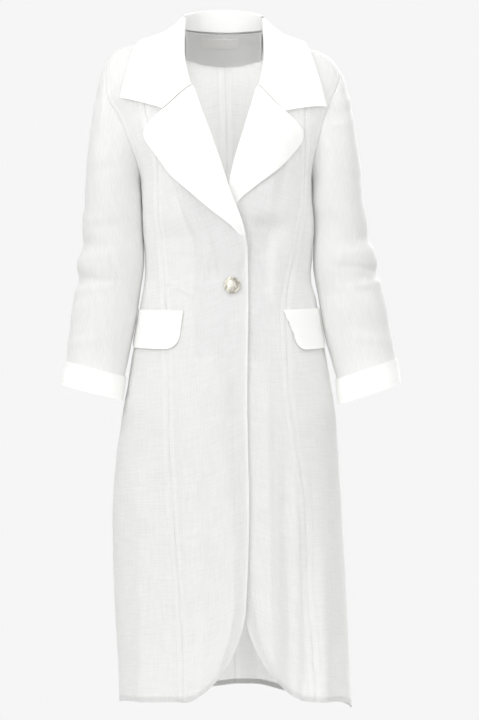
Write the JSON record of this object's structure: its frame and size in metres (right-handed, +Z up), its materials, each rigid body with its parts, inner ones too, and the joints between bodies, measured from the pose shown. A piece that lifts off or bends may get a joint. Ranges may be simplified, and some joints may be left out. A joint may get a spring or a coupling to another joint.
{
  "type": "long blazer",
  "caption": "Long unlined blazer with notched collar and rounded lapels, side pocket flaps, cuffed sleeves and rounded front corners, held in its worn form.",
  "frame": {"origin": "middle of the neck base, level with the neck seam, where the wearer's shoulders hold the garment", "axes": "+Z up along the garment, the front faces -Y, +X is the wearer's left"},
  "size_m": [0.5828, 0.2983, 1.2103],
  "materials": {
    "linen_single": "sheer single layer of undyed white plain-weave linen with fine slubs",
    "linen_double": "two layers of the same linen, opaque and crisply pressed",
    "label_tape": "blank woven satin tape",
    "shell_button": "grey and taupe mother-of-pearl, polished"
  },
  "bodies": {
    "root": {"front_right": "linen_single", "side_front_right": "linen_single", "back_right": "linen_single", "sleeve_right": "linen_single", "cuff_right": "linen_double", "lapel_right": "linen_double", "front_facing_right": "linen_double", "pocket_flap_right": "linen_double", "front_left": "linen_single", "side_front_left": "linen_single", "back_left": "linen_single", "sleeve_left": "linen_single", "cuff_left": "linen_double", "lapel_left": "linen_double", "front_facing_left": "linen_double", "pocket_flap_left": "linen_double", "collar": "linen_double", "back_neck_facing": "linen_double", "label": "label_tape", "button": "shell_button"}
  },
  "joints": []
}
